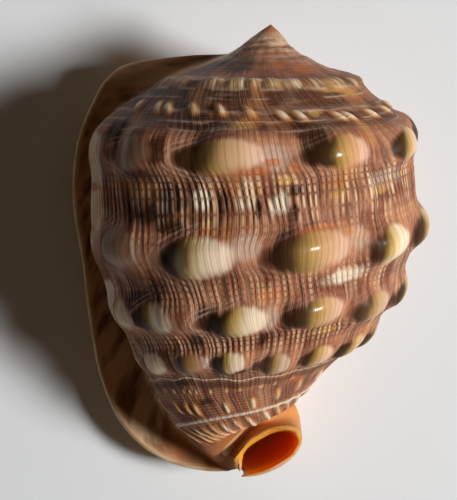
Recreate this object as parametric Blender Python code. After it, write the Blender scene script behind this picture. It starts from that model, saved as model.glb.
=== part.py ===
"""A helmet shell, lying on its mouth with the knobbed back up.

The shell grew as one piece, so it is one solid. Its wall is a letter C in cross-section: the
outside runs from the lip's rim over the back and down to the parietal shield, then turns in
at the narrow mouth, round the living chamber and out along the lip's teeth. The solid is a
stack of such C-shaped rings, from the apex (+Y) to the open end of the siphonal canal (-Y).
"""

import math

import bpy
import bmesh
import numpy as np

MM = 0.001

# The coil axis, from the apex down towards the canal. The shell leans a little, as it rests.
APEX = np.array([6.4, 74.7, 48.0])
AXIS = np.array([-0.0863, -0.9865, -0.1392])
AXIS_END = 129.0

# Radius of the body about the axis in mm, against the distance from the apex along the axis.
BACK_RADIUS = [(0, 0), (2, 2.5), (6.4, 7.6), (12, 16.5), (17, 26.5), (22, 33), (28, 40), (34, 45.5),
               (42, 48), (55, 48.6), (68, 48.6), (80, 47), (93, 43), (104, 37.5), (114, 31), (124, 24),
               (131, 19.5), (134.5, 17), (136.5, 14.5), (138.5, 10.5), (142, 8.3), (148, 7), (156, 6.8),
               (163, 7.2)]
RIGHT_RADIUS = [(0, 0), (2, 2.6), (6.4, 7.8), (9.5, 14.4), (12, 22.2), (14, 28.8), (17, 32.6), (20, 36),
                (23, 41), (28, 46.6), (33, 50), (41, 51.4), (50, 53), (60, 54.6), (68, 54), (78, 51.4),
                (88, 48.4), (96, 44), (102.5, 39), (107, 34.6), (113, 29.3), (119, 24.6), (124, 21.6),
                (128, 19.8), (134, 18.4), (140, 18), (147, 16), (155, 13.4), (163, 12.1)]
BELLY_RADIUS = [(0, 0), (2, 2.4), (6.4, 7.2), (11, 14), (16, 21.5), (22, 28.5), (30, 37), (36, 42.2),
                (42, 42.8), (55, 41), (70, 39), (90, 36.2), (110, 33.4), (124, 31), (131, 29.5),
                (136, 26), (140, 20.5), (145, 15), (150, 11), (157, 8), (163, 7)]
LEFT_RADIUS = [(0, 0), (2, 2.6), (6.4, 7.8), (12.4, 16), (18.8, 29.5), (24.5, 38), (30.6, 46.5),
               (36, 52), (42, 54.6), (48, 55.4), (57, 55.2), (68, 54.6), (76, 53), (86, 49.8), (96, 46),
               (105.5, 41), (113.6, 36), (123, 30.4), (131, 26), (137, 21), (141, 16.6), (145, 13.4),
               (149, 12.2), (155, 12.8), (163, 15.0)]

# How far the rows of knobs drop towards the lip, in mm a radian, as the whorl grows.
DROP = [(0, 0), (8, 0.9), (18, 2.4), (28, 3.9), (38, 5.2), (50, 6.6), (62, 7.4), (125, 7.2),
        (137, 6.4), (150, 1.5), (163, 0)]

# The canal's centreline past the coil axis, and how far its rings yaw right and pitch up.
CANAL_X = [(135, -4.6), (139, -2.8), (144, 0.0), (150, 3.2), (156, 5.6), (163, 6.6)]
CANAL_Y = [(135, -58.4), (139, -61.6), (144, -64.8), (150, -67.0), (156, -68.2), (163, -68.4)]
CANAL_Z = [(135, 28.0), (139, 24.0), (144, 20.6), (150, 21.0), (156, 24.8), (163, 30.6)]
CANAL_YAW = [(129, 0), (135, 4), (139, 12), (144, 22), (150, 30), (163, 35)]
CANAL_PITCH = [(129, 0), (135, 2), (138, 8), (142, 27), (146, 47), (151, 66), (157, 78), (163, 82)]
CANAL_END = 163.0

# The lip's rim, and the floor of the gutter between rim and body, against the ring's place.
RIM_X = [(8, -8), (10, -12.5), (13, -22.5), (16, -34), (20, -45), (24, -51), (30, -56.3), (38, -60.8),
         (48, -63), (60, -62.5), (72, -60), (84, -58.4), (96, -56.2), (108, -52.5), (118, -45.4),
         (126, -36), (132, -26), (137, -16), (142, -9.4), (148, -6.6), (155, -5.4), (163, -4.8)]
RIM_Y = [(8, 65), (10, 66.5), (13, 66.3), (16, 65.6), (20, 63.9), (24, 59.6), (30, 51), (38, 40),
         (48, 26), (60, 11.5), (72, -3), (84, -17), (96, -32), (108, -48), (118, -62.6), (126, -71.6),
         (132, -76.4), (137, -78.2), (142, -77.6), (148, -76.4), (155, -75.4), (163, -74.4)]
RIM_Z = [(8, 39), (10, 35.5), (13, 30), (16, 25.5), (20, 21), (26, 17.6), (34, 15.8), (45, 15),
         (80, 14), (110, 13), (126, 12.8), (137, 14.5), (142, 17), (148, 20.5), (155, 25), (163, 30)]
GUTTER_Z = [(8, 40), (10, 37.5), (13, 31.5), (16, 26), (20, 20), (26, 14.5), (34, 11.4), (45, 10.2),
            (80, 9.5), (110, 9.5), (126, 11), (137, 14), (142, 17), (148, 20.5), (155, 25), (163, 30)]

# The mouth: how far its right edge stands left of the body's lowest line, and its width.
MOUTH_TURN = [(0, 18), (12, 24), (24, 28), (36, 18), (60, 17), (100, 13), (125, 12), (137, 20),
              (144, 38), (150, 58), (156, 70), (163, 76)]
MOUTH_WIDTH = [(22, 1.5), (32, 4.0), (50, 7.5), (90, 9.0), (120, 8.5), (135, 6.0), (145, 3.2), (163, 2.4)]
LIP_START = math.radians(105)
LIP_START_CANAL = math.radians(78)
WALL = 4.6
CANAL_WALL = 2.4

BODY_POINTS = 20
CHAMBER_TURNS = [158, 130, 80, 25, -30, -75, -100, -80, -35, 10, 50, 90, 125]
CHAMBER_DEPTHS = [0.74, 0.60, 0.50, 0.47, 0.48, 0.54, 0.72, 1, 1, 1, 1, 1, 1]

# The rows of knobs: height, half length, half turn, and each knob's angle and place along the axis.
# A knob's front, towards the lip, is shorter than half a turn of it, and its tail is longer.
KNOB_ROWS = [(4.6, 6.8, 12.5, [(80, 37), (47, 38.3), (13, 39), (-28, 39.5), (-62, 40), (-103, 41)]),
             (4.6, 6.1, 12.5, [(92, 68), (57, 67), (19, 70.5), (-16, 71), (-53, 73), (-80, 73.2), (-112, 73)]),
             (3.8, 5.0, 11.5, [(90, 88), (62, 88.5), (34, 90), (5, 92), (-24, 92), (-53, 94.5), (-79, 95),
                               (-105, 95)]),
             (2.6, 4.0, 9.5, [(84, 104), (56, 105.5), (31, 105.4), (6.5, 106.5), (-19, 109), (-38, 109),
                              (-58, 109.5), (-80, 111), (-100, 111)])]
KNOB_FRONT = 0.75
KNOB_TAIL = 1.32
SHIELD_EDGE = math.radians(-118)
SHIELD_STEP = 1.1
SUTURE = 16.7
SUTURE_STEP = 1.0

# The lip's teeth, and the ridges across from them, along the mouth.
TEETH_FROM = 29.0
TEETH_TO = 133.0
TEETH = 20
TOOTH_HEIGHT = 1.5

ROWS_ABOVE = 16
ROWS_BELOW = 15
COLUMNS = {"body": 43, "chamber": 13, "lip": 13}


def along(stations, q):
    """A smooth curve through (place, value) stations, by cubic pieces with shared slopes."""
    x, y = np.array(stations, float).T
    q = np.clip(q, x[0], x[-1])
    slope = np.gradient(y, x)
    i = np.clip(np.searchsorted(x, q) - 1, 0, len(x) - 2)
    h = x[i + 1] - x[i]
    t = (q - x[i]) / h
    return (y[i] * (1 + 2 * t) * (1 - t) ** 2 + slope[i] * h * t * (1 - t) ** 2
            + y[i + 1] * t * t * (3 - 2 * t) + slope[i + 1] * h * t * t * (t - 1))


def ease(low, high, q):
    """0 below low, 1 above high, and a smooth step between them."""
    t = np.clip((q - low) / (high - low), 0, 1)
    return t * t * (3 - 2 * t)


def swing(phi):
    """The ring's drop against the angle: straight across the back, closed at the belly."""
    return (4 * np.sin(phi)) / 3 - np.sin(2 * phi) / 6


def ring_frame(q):
    """Centre, heading, upward and rightward directions of the ring at each place q."""
    up = np.array([0, 0, 1.0]) - AXIS[2] * AXIS
    up /= np.linalg.norm(up)
    right = np.cross(up, AXIS)
    start = APEX + AXIS * AXIS_END
    centre = np.empty((len(q), 3))
    for k, stations in enumerate((CANAL_X, CANAL_Y, CANAL_Z)):
        bent = along([(AXIS_END - 6, start[k] - 6 * AXIS[k]), (AXIS_END, start[k])] + stations, q)
        centre[:, k] = np.where(q < AXIS_END, APEX[k] + AXIS[k] * q, bent)
    yaw = np.radians(along(CANAL_YAW, q))[:, None]
    pitch = np.radians(along(CANAL_PITCH, q))[:, None]
    level = np.cos(yaw) * AXIS + np.sin(yaw) * right
    across = np.cos(yaw) * right - np.sin(yaw) * AXIS
    heading = np.cos(pitch) * level + np.sin(pitch) * up
    upward = np.cos(pitch) * up - np.sin(pitch) * level
    return centre, heading, upward, across


def radius(phi, place):
    """The body's outline about the axis: four quarter ellipses, one radius on each side."""
    tall = np.where(np.cos(phi) > 0, along(BACK_RADIUS, place), along(BELLY_RADIUS, place))
    wide = np.where(np.sin(phi) > 0, along(LEFT_RADIUS, place), along(RIGHT_RADIUS, place))
    power = 2.0 + 0.35 * (np.cos(phi) < 0) * ease(24, 40, place) * (1 - ease(128, 140, place))
    return (np.abs(np.cos(phi) / np.maximum(tall, 0.05)) ** power
            + np.abs(np.sin(phi) / np.maximum(wide, 0.05)) ** power) ** (-1 / power)


def ring_point(q, phi, share=1.0, inset=0.0):
    """Points at angle phi from the back, left positive, at a share of the radius less an inset."""
    centre, heading, upward, across = (a[:, None, :] for a in ring_frame(q))
    drop = along(DROP, q)[:, None] * swing(phi)
    r = radius(phi, q[:, None] + drop) * share - inset
    return (centre + heading * drop[..., None]
            + (upward * np.cos(phi)[..., None] - across * np.sin(phi)[..., None]) * r[..., None])


def controls(q):
    """The control points of each C-shaped ring, and the angle about the axis at each one."""
    start = LIP_START + (LIP_START_CANAL - LIP_START) * ease(135, 152, q)
    end = -np.pi - np.radians(along(MOUTH_TURN, q))
    share = np.linspace(0, 1, BODY_POINTS)
    phi = start[:, None] + (end - start)[:, None] * share
    body = ring_point(q, phi, share=1.0 / ((2 + np.cos((start - end) / (BODY_POINTS - 1))) / 3)[:, None])
    edge = body[:, -1]
    into_canal = ease(114, 137, q)[:, None, None]

    # Chamber: round the inner whorl and back under the outer wall. In the canal it is the bore.
    turns = np.radians(np.array(CHAMBER_TURNS, float))[None, :] + 0 * q[:, None]
    depth = np.array(CHAMBER_DEPTHS)[None, :] + 0 * q[:, None]
    wall = np.where(depth == 1, WALL, 0.0)
    wide = ring_point(q, turns, depth, wall)
    bore_turns = (end[:, None] + 0.30) + (start - 0.20 - end - 0.30)[:, None] * np.linspace(0, 1, len(CHAMBER_TURNS))
    thin = CANAL_WALL * (1 - 0.55 * ease(158.5, CANAL_END, q))[:, None]
    bore = ring_point(q, bore_turns, 1.0, thin)
    chamber = wide + (bore - wide) * into_canal

    # Lip: from the teeth across its flat face to the rim, over it and down into the gutter.
    rim = np.stack([along(RIM_X, q), along(RIM_Y, q), along(RIM_Z, q)], axis=1)
    left = np.array([-1.0, 0, 0])
    lift = np.array([0, 0, 1.0])
    gap = along(MOUTH_WIDTH, q)[:, None]
    low = (1 - ease(134, 146, q))[:, None]
    tooth = edge + left * gap * low + (rim - edge) * 0.25 * (1 - low)
    inward = edge - rim
    inward /= np.linalg.norm(inward, axis=1)[:, None]
    gutter = along(GUTTER_Z, q)[:, None]
    attach = body[:, 0]

    def between(a, b, t, z=None):
        p = a + (b - a) * t
        if z is not None:
            p = np.concatenate([p[:, :2], z + 0 * p[:, 2:]], axis=1)
        return p

    flat = -0.7 + (rim[:, 2:] - 6) * (1 - ease(22, 40, q))[:, None]
    flat = np.where(q[:, None] > 128, flat + (rim[:, 2:] - 12) * 0.8 * ease(128, 140, q)[:, None], flat)
    lip = [tooth + left * 2.5 * low + lift * 9 * low + (chamber[:, -1] - tooth) * 0.5 * (1 - low),
           tooth + lift * 0.8 * low,
           between(tooth, rim, 0.22, flat + 0.6),
           between(tooth, rim, 0.55, flat),
           rim + inward * 5 * low + inward * 0.8 * (1 - low) - lift * (7.5 * low + 0.6 * (1 - low)),
           rim + inward * 0.2 - lift * 3.0 * low,
           rim + inward * (1.2 * low + 0.3 * (1 - low)) + lift * 2.6 * low,
           rim + inward * (3.6 * low + 0.6 * (1 - low)) + lift * (2.4 * low + 0.2 * (1 - low)),
           between(rim, attach, 0.48, gutter),
           between(rim, attach, 0.80, gutter + 0.25 * (attach[:, 2:] - gutter))]
    lip = np.stack(lip, axis=1)

    # The chamber shrinks towards the mouth's upper end, and closes there.
    centre = (edge + tooth)[:, None] / 2 + lift * 2.0
    open_share = (0.05 + 0.95 * ease(20, 46, q))[:, None, None]
    sill = edge + left * 0.4 + lift * 4.5 * low
    inner = np.concatenate([sill[:, None], chamber, lip[:, :2]], axis=1)
    inner = centre + (inner - centre) * open_share
    span = start - (end + 2 * np.pi)
    back_turns = (end + 2 * np.pi)[:, None] + span[:, None] * (np.arange(1, 9) / 9)[None]
    spire = ring_point(q, back_turns)
    flange = spire + (lip[:, 2:] - spire) * ease(7.5, 13, q)[:, None, None]
    steps = np.arange(1, inner.shape[1] + 1)[None, :, None] / (inner.shape[1] + 1)
    closed = edge[:, None] + (flange[:, :1] - edge[:, None]) * steps
    inner = closed + (inner - closed) * ease(23, 32, q)[:, None, None]
    return np.concatenate([body, inner, flange], axis=1), start, end


def spread(counts, columns):
    """Where the columns stand among the control points, an even spacing in each stretch."""
    stops = np.cumsum([0] + counts)
    return np.concatenate([np.linspace(a, b, n, endpoint=False)
                           for a, b, n in zip(stops[:-1], stops[1:], columns)])


def skin(points, t):
    """A closed cubic B-spline through each ring's control points, read at each place t."""
    n = points.shape[1]
    i = np.floor(t).astype(int)
    f = (t - i)[None, :, None]
    p = [points[:, (i + k) % n] for k in (-1, 0, 1, 2)]
    return ((1 - f) ** 3 * p[0] + (3 * f ** 3 - 6 * f * f + 4) * p[1]
            + (-3 * f ** 3 + 3 * f * f + 3 * f + 1) * p[2] + f ** 3 * p[3]) / 6


def level_base(z, soft=0.8):
    """What would reach below the floor is worn flat on it, with a rounded edge."""
    return np.where(z > soft, z, np.where(z < -soft, 0, (z + soft) ** 2 / (4 * soft)))


def knobs(place, phi):
    """Broad blunt lumps in rows, steep in front and with a long tail."""
    height = np.zeros_like(place)
    for tall, length, half_turn, row in KNOB_ROWS:
        for turn, at in row:
            off = np.degrees(phi) - turn
            across = np.abs(off / (half_turn * np.where(off > 0, KNOB_FRONT, KNOB_TAIL)))
            down = np.abs((place - at) / length)
            height = np.maximum(height, tall * np.exp(-across ** 2.4 - down ** 2.8))
    return height * (1 - 0.7 * ease(1.05, 1.6, phi))


def relief(q, phi):
    """How far the outer surface stands out or in, in mm, at each ring and angle."""
    drop = along(DROP, q)[:, None]
    place = q[:, None] + drop * (swing(phi) - phi)
    open_back = ease(SHIELD_EDGE - 0.02, SHIELD_EDGE + 0.10, phi) * (1 - ease(1.72, 1.95, phi))
    sutures = SUTURE_STEP * (ease(SUTURE - 1.2, SUTURE + 0.6, place) - 1) * ease(4, 10, q)[:, None]
    shield = SHIELD_STEP * (1 - ease(SHIELD_EDGE - 0.03, SHIELD_EDGE + 0.06, phi))
    shield = shield * (ease(20, 38, q) * (1 - ease(132, 142, q)))[:, None]
    return (knobs(place, phi) + sutures) * open_back + shield


def normals(grid):
    """Directions straight out of the surface at each grid point."""
    around = np.roll(grid, -1, axis=1) - np.roll(grid, 1, axis=1)
    down = np.gradient(grid, axis=0)
    out = np.cross(down, around)
    return out / np.maximum(np.linalg.norm(out, axis=2), 1e-9)[..., None]


def surface(rows, columns):
    """The shell's whole skin as a grid: rings from apex to canal, each closed round the C."""
    points, start, end = controls(rows)
    inner = len(CHAMBER_TURNS) + 3
    t = spread([BODY_POINTS - 1, inner, points.shape[1] - BODY_POINTS + 1 - inner], columns)
    grid = skin(points, t)
    share = np.clip(t / (BODY_POINTS - 1), 0, 1)[None]
    phi = start[:, None] + (end - start)[:, None] * share
    on_body = (t < BODY_POINTS - 1)[None]
    lift = relief(rows, phi) * on_body

    # Teeth cross the lip's inner edge, and lower ridges cross the other side of the mouth.
    beat = 0.5 - 0.5 * np.cos(2 * np.pi * (rows - TEETH_FROM) * TEETH / (TEETH_TO - TEETH_FROM))
    beat = beat * ease(TEETH_FROM - 1, TEETH_FROM + 6, rows) * (1 - ease(TEETH_TO - 8, TEETH_TO, rows))
    lip_edge = BODY_POINTS - 1 + inner
    ridge = np.exp(-((t - BODY_POINTS + 0.6) / 0.8) ** 2) * 0.6
    tooth = np.exp(-np.abs((t - lip_edge - 0.1) / 1.15) ** 3)
    lift = lift + beat[:, None] * (tooth + ridge)[None] * TOOTH_HEIGHT
    grid = grid + normals(grid) * lift[..., None]
    grid[..., 2] = level_base(grid[..., 2])
    return grid, t


def row_places():
    """Rings from the apex to the canal: two for each tooth, evenly spaced above and below."""
    q = np.linspace(0.25, TEETH_FROM, 400)
    run = np.cumsum(np.hypot(np.gradient(q), np.gradient(along(RIGHT_RADIUS, q))))
    above = np.interp(np.linspace(run[0], run[-1], ROWS_ABOVE + 1), run, q)[:-1]
    teeth = np.linspace(TEETH_FROM, TEETH_TO, 2 * TEETH + 1)
    below = np.linspace(TEETH_TO, CANAL_END, ROWS_BELOW + 1)[1:]
    return np.concatenate([above, teeth, below])


def main():
    for obj in list(bpy.data.objects):
        bpy.data.objects.remove(obj)
    grid, t = surface(row_places(), list(COLUMNS.values()))
    corner = [grid.reshape(-1, 3).min(axis=0), grid.reshape(-1, 3).max(axis=0)]
    middle = (corner[0] + corner[1]) / 2
    stand = np.array([middle[0], middle[1], 0.0])
    bm = bmesh.new()
    rings = [[bm.verts.new((p - stand) * MM) for p in ring] for ring in grid]
    n = len(rings[0])
    for a, b in zip(rings[:-1], rings[1:]):
        for j in range(n):
            bm.faces.new((a[j], b[j], b[(j + 1) % n], a[(j + 1) % n]))
    tip = bm.verts.new((APEX - stand) * MM)
    for j in range(n):
        bm.faces.new((tip, rings[0][j], rings[0][(j + 1) % n]))
    bm.faces.new(rings[-1])
    bmesh.ops.recalc_face_normals(bm, faces=bm.faces)
    mesh = bpy.data.meshes.new("shell")
    bm.to_mesh(mesh)
    bm.free()
    shell = bpy.data.objects.new("shell", mesh)
    bpy.context.scene.collection.objects.link(shell)
    mesh.shade_smooth()

    look = bpy.data.materials.new("shell_brown")
    look.use_nodes = True
    surface_node = look.node_tree.nodes["Principled BSDF"]
    surface_node.inputs["Base Color"].default_value = (0.40, 0.23, 0.16, 1)
    surface_node.inputs["Roughness"].default_value = 0.35
    surface_node.inputs["Metallic"].default_value = 0.0
    mesh.materials.append(look)


main()
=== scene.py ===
"""A helmet shell lying on its mouth on a plain pale sheet, seen from straight above."""

import math

import bpy
import numpy as np
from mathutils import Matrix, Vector


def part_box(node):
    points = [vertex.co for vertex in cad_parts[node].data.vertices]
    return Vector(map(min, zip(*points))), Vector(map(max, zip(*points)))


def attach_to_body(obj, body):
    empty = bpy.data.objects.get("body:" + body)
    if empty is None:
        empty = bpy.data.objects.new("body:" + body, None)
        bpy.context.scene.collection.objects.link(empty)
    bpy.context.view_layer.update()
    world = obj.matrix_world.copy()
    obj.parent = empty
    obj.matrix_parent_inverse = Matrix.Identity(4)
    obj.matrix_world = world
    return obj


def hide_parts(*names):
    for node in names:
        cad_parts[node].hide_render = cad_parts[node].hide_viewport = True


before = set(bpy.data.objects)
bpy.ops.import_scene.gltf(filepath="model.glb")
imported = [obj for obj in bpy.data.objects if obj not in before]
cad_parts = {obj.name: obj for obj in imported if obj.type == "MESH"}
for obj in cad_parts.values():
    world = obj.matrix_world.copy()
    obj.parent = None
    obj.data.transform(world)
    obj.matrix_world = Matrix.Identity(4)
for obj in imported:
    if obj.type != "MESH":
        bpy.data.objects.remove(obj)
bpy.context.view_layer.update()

# The view: the photograph looks straight down on the shell from about 0.65 m above the sheet.
# Its frame is a little left of the shell's middle, and is taller than it is wide.
EYE = (-0.0061, 0.0015, 0.650)
LENS = 130.7
NEAREST = 0.05

view = bpy.data.cameras.new("view")
view.lens = LENS
view.clip_start = NEAREST
eye = bpy.data.objects.new("view", view)
eye.location = EYE
bpy.context.scene.collection.objects.link(eye)
bpy.context.scene.camera = eye


# The shell: one wall of lime, grown at its lip as the snail turned round a leaning axis. Its
# rings are C-shaped, from the lip's rim over the back to the shield, then in at the mouth,
# round the chamber and out over the teeth. The grid has one row for each ring. Lengths in mm.
MM = 0.001
APEX = np.array([6.4, 74.7, 48.0])
AXIS = np.array([-0.0863, -0.9865, -0.1392])
AXIS_END = 129.0

# Radius of the body about the axis in mm, against the distance from the apex along the axis.
BACK_RADIUS = [(0, 0), (2, 2.5), (6.4, 7.6), (12, 16.5), (17, 26.5), (22, 33), (28, 40), (34, 45.5),
               (42, 48), (55, 48.6), (68, 48.6), (80, 47), (93, 43), (104, 37.5), (114, 31), (124, 24),
               (131, 19.5), (134.5, 17), (136.5, 14.5), (138.5, 10.5), (142, 8.3), (148, 7), (156, 6.8),
               (163, 7.2)]
RIGHT_RADIUS = [(0, 0), (2, 2.6), (6.4, 7.8), (9.5, 14.4), (12, 22.2), (14, 28.8), (17, 32.6), (20, 36),
                (23, 41), (28, 46.6), (33, 50), (41, 51.4), (50, 53), (60, 54.6), (68, 54), (78, 51.4),
                (88, 48.4), (96, 44), (102.5, 39), (107, 34.6), (113, 29.3), (119, 24.6), (124, 21.6),
                (128, 19.8), (134, 18.4), (140, 18), (147, 16), (155, 13.4), (163, 12.1)]
BELLY_RADIUS = [(0, 0), (2, 2.4), (6.4, 7.2), (11, 14), (16, 21.5), (22, 28.5), (30, 37), (36, 42.2),
                (42, 42.8), (55, 41), (70, 39), (90, 36.2), (110, 33.4), (124, 31), (131, 29.5),
                (136, 26), (140, 20.5), (145, 15), (150, 11), (157, 8), (163, 7)]
LEFT_RADIUS = [(0, 0), (2, 2.6), (6.4, 7.8), (12.4, 16), (18.8, 29.5), (24.5, 38), (30.6, 46.5),
               (36, 52), (42, 54.6), (48, 55.4), (57, 55.2), (68, 54.6), (76, 53), (86, 49.8), (96, 46),
               (105.5, 41), (113.6, 36), (123, 30.4), (131, 26), (137, 21), (141, 16.6), (145, 13.4),
               (149, 12.2), (155, 12.8), (163, 15.0)]

# How far the rows of knobs drop towards the lip, in mm a radian, as the whorl grows.
DROP = [(0, 0), (8, 0.9), (18, 2.4), (28, 3.9), (38, 5.2), (50, 6.6), (62, 7.4), (125, 7.2),
        (137, 6.4), (150, 1.5), (163, 0)]

# The canal's centreline past the coil axis, and how far its rings yaw right and pitch up.
CANAL_X = [(135, -4.6), (139, -2.8), (144, 0.0), (150, 3.2), (156, 5.6), (163, 6.6)]
CANAL_Y = [(135, -58.4), (139, -61.6), (144, -64.8), (150, -67.0), (156, -68.2), (163, -68.4)]
CANAL_Z = [(135, 28.0), (139, 24.0), (144, 20.6), (150, 21.0), (156, 24.8), (163, 30.6)]
CANAL_YAW = [(129, 0), (135, 4), (139, 12), (144, 22), (150, 30), (163, 35)]
CANAL_PITCH = [(129, 0), (135, 2), (138, 8), (142, 27), (146, 47), (151, 66), (157, 78), (163, 82)]
CANAL_END = 163.0

# The lip's rim, and the floor of the gutter between rim and body, against the ring's place.
RIM_X = [(8, -8), (10, -12.5), (13, -22.5), (16, -34), (20, -45), (24, -51), (30, -56.3), (38, -60.8),
         (48, -63), (60, -62.5), (72, -60), (84, -58.4), (96, -56.2), (108, -52.5), (118, -45.4),
         (126, -36), (132, -26), (137, -16), (142, -9.4), (148, -6.6), (155, -5.4), (163, -4.8)]
RIM_Y = [(8, 65), (10, 66.5), (13, 66.3), (16, 65.6), (20, 63.9), (24, 59.6), (30, 51), (38, 40),
         (48, 26), (60, 11.5), (72, -3), (84, -17), (96, -32), (108, -48), (118, -62.6), (126, -71.6),
         (132, -76.4), (137, -78.2), (142, -77.6), (148, -76.4), (155, -75.4), (163, -74.4)]
RIM_Z = [(8, 39), (10, 35.5), (13, 30), (16, 25.5), (20, 21), (26, 17.6), (34, 15.8), (45, 15),
         (80, 14), (110, 13), (126, 12.8), (137, 14.5), (142, 17), (148, 20.5), (155, 25), (163, 30)]
GUTTER_Z = [(8, 40), (10, 37.5), (13, 31.5), (16, 26), (20, 20), (26, 14.5), (34, 11.4), (45, 10.2),
            (80, 9.5), (110, 9.5), (126, 11), (137, 14), (142, 17), (148, 20.5), (155, 25), (163, 30)]

# The mouth: how far its right edge stands left of the body's lowest line, and its width.
MOUTH_TURN = [(0, 18), (12, 24), (24, 28), (36, 18), (60, 17), (100, 13), (125, 12), (137, 20),
              (144, 38), (150, 58), (156, 70), (163, 76)]
MOUTH_WIDTH = [(22, 1.5), (32, 4.0), (50, 7.5), (90, 9.0), (120, 8.5), (135, 6.0), (145, 3.2), (163, 2.4)]
LIP_START = math.radians(105)
LIP_START_CANAL = math.radians(78)
WALL = 4.6
CANAL_WALL = 2.4

BODY_POINTS = 20
CHAMBER_TURNS = [158, 130, 80, 25, -30, -75, -100, -80, -35, 10, 50, 90, 125]
CHAMBER_DEPTHS = [0.74, 0.60, 0.50, 0.47, 0.48, 0.54, 0.72, 1, 1, 1, 1, 1, 1]

# The rows of knobs: height, half length, half turn, and each knob's angle and place along the axis.
# A knob's front, towards the lip, is shorter than half a turn of it, and its tail is longer.
KNOB_ROWS = [(4.6, 6.8, 12.5, [(80, 37), (47, 38.3), (13, 39), (-28, 39.5), (-62, 40), (-103, 41)]),
             (4.6, 6.1, 12.5, [(92, 68), (57, 67), (19, 70.5), (-16, 71), (-53, 73), (-80, 73.2),
                               (-112, 73)]),
             (3.8, 5.0, 11.5, [(90, 88), (62, 88.5), (34, 90), (5, 92), (-24, 92), (-53, 94.5), (-79, 95),
                               (-105, 95)]),
             (2.6, 4.0, 9.5, [(84, 104), (56, 105.5), (31, 105.4), (6.5, 106.5), (-19, 109), (-38, 109),
                              (-58, 109.5), (-80, 111), (-100, 111)])]
KNOB_FRONT = 0.75
KNOB_TAIL = 1.32
SHIELD_EDGE = math.radians(-118)
SHIELD_STEP = 1.1
SUTURE = 16.7
SUTURE_STEP = 1.0

# The lip's teeth, and the ridges across from them, along the mouth.
TEETH_FROM = 29.0
TEETH_TO = 133.0
TEETH = 20
TOOTH_HEIGHT = 1.5
RIDGE_HEIGHT = 0.9


def along(stations, q):
    """A smooth curve through (place, value) stations, by cubic pieces with shared slopes."""
    x, y = np.array(stations, float).T
    q = np.clip(q, x[0], x[-1])
    slope = np.gradient(y, x)
    i = np.clip(np.searchsorted(x, q) - 1, 0, len(x) - 2)
    h = x[i + 1] - x[i]
    t = (q - x[i]) / h
    return (y[i] * (1 + 2 * t) * (1 - t) ** 2 + slope[i] * h * t * (1 - t) ** 2
            + y[i + 1] * t * t * (3 - 2 * t) + slope[i + 1] * h * t * t * (t - 1))


def ease(low, high, q):
    """0 below low and 1 above high. Between them, three times the share squared less twice its
    cube, where the share is how far q is from low to high."""
    t = np.clip((q - low) / (high - low), 0, 1)
    return t * t * (3 - 2 * t)


def swing(phi):
    """The ring's drop against the angle: four thirds of the sine, less a sixth of the sine of
    twice the angle. It is straight across the back and closed at the belly."""
    return (4 * np.sin(phi)) / 3 - np.sin(2 * phi) / 6


def ring_frame(q):
    """Centre, heading, upward and rightward directions of the ring at each place q."""
    up = np.array([0, 0, 1.0]) - AXIS[2] * AXIS
    up /= np.linalg.norm(up)
    right = np.cross(up, AXIS)
    start = APEX + AXIS * AXIS_END
    centre = np.empty((len(q), 3))
    for k, stations in enumerate((CANAL_X, CANAL_Y, CANAL_Z)):
        bent = along([(AXIS_END - 6, start[k] - 6 * AXIS[k]), (AXIS_END, start[k])] + stations, q)
        centre[:, k] = np.where(q < AXIS_END, APEX[k] + AXIS[k] * q, bent)
    yaw = np.radians(along(CANAL_YAW, q))[:, None]
    pitch = np.radians(along(CANAL_PITCH, q))[:, None]
    level = np.cos(yaw) * AXIS + np.sin(yaw) * right
    across = np.cos(yaw) * right - np.sin(yaw) * AXIS
    heading = np.cos(pitch) * level + np.sin(pitch) * up
    upward = np.cos(pitch) * up - np.sin(pitch) * level
    return centre, heading, upward, across


def radius(phi, place):
    """The body's outline about the axis: four quarter ellipses with one radius on each side. The
    two of the belly are a little squarer, because their power is above two."""
    tall = np.where(np.cos(phi) > 0, along(BACK_RADIUS, place), along(BELLY_RADIUS, place))
    wide = np.where(np.sin(phi) > 0, along(LEFT_RADIUS, place), along(RIGHT_RADIUS, place))
    power = 2.0 + 0.35 * (np.cos(phi) < 0) * ease(24, 40, place) * (1 - ease(128, 140, place))
    return (np.abs(np.cos(phi) / np.maximum(tall, 0.05)) ** power
            + np.abs(np.sin(phi) / np.maximum(wide, 0.05)) ** power) ** (-1 / power)


def ring_point(q, phi, share=1.0, inset=0.0):
    """Points at angle phi from the back, left positive, at a share of the radius less an inset."""
    centre, heading, upward, across = (a[:, None, :] for a in ring_frame(q))
    drop = along(DROP, q)[:, None] * swing(phi)
    r = radius(phi, q[:, None] + drop) * share - inset
    return (centre + heading * drop[..., None]
            + (upward * np.cos(phi)[..., None] - across * np.sin(phi)[..., None]) * r[..., None])


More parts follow.
